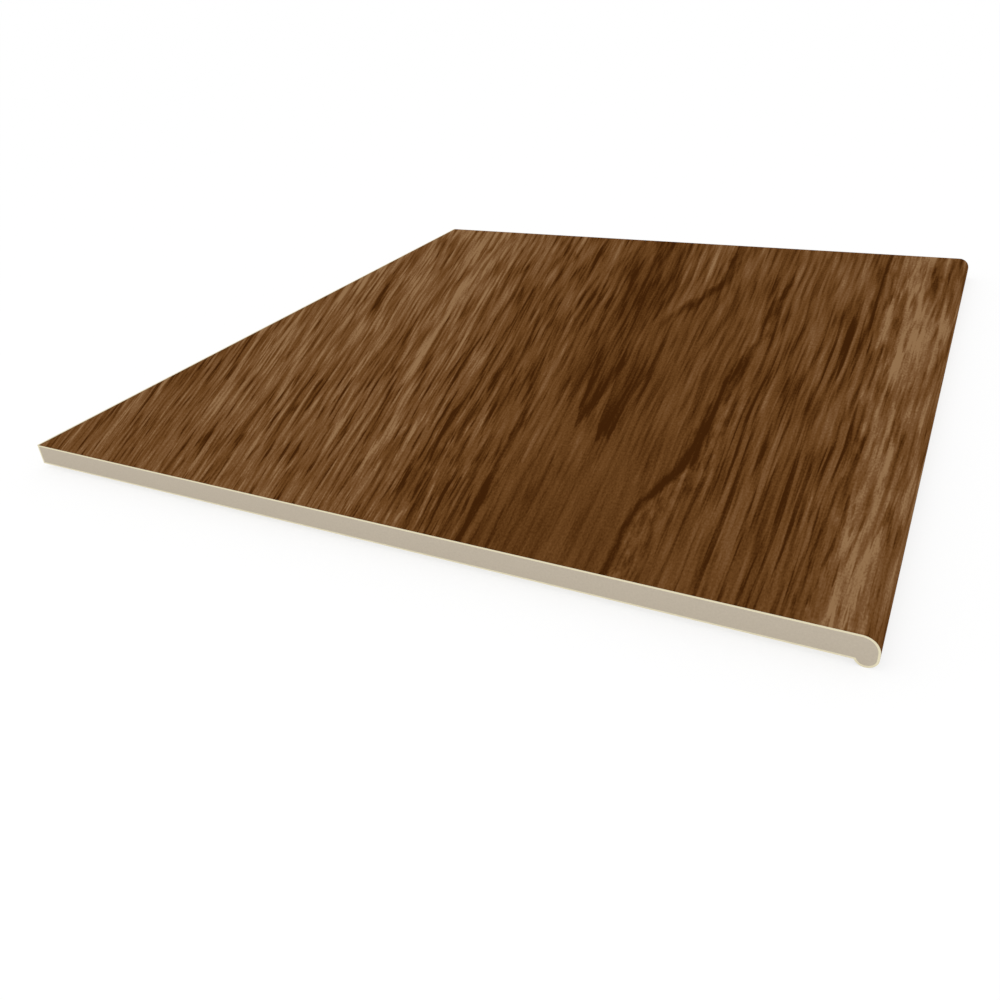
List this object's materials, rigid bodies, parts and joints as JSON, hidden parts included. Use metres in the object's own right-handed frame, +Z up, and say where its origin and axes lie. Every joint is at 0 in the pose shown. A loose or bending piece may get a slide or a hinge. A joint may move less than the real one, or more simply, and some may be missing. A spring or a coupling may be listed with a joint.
{
  "type": "stair landing board",
  "caption": "Flat, nearly square stair landing board with a wood-print laminate top that rolls over a rounded nosing and ends in a small bead below the front edge.",
  "frame": {"origin": "under the middle of the board, level with the bottom of the nosing bead", "axes": "+X from the back edge to the nosing, +Y along the nosing, +Z up out of the walking surface"},
  "size_m": [0.94, 1, 0.03],
  "materials": {
    "fibreboard_core": "smooth sawn fibreboard",
    "wood_decor": "satin dark wood print",
    "plain_backing": "matt cream",
    "plain_edging": "matt cream"
  },
  "bodies": {
    "root": {"core_board": "fibreboard_core", "decor_laminate": "wood_decor", "backing_laminate": "plain_backing", "back_edge_band": "plain_edging"}
  },
  "joints": []
}
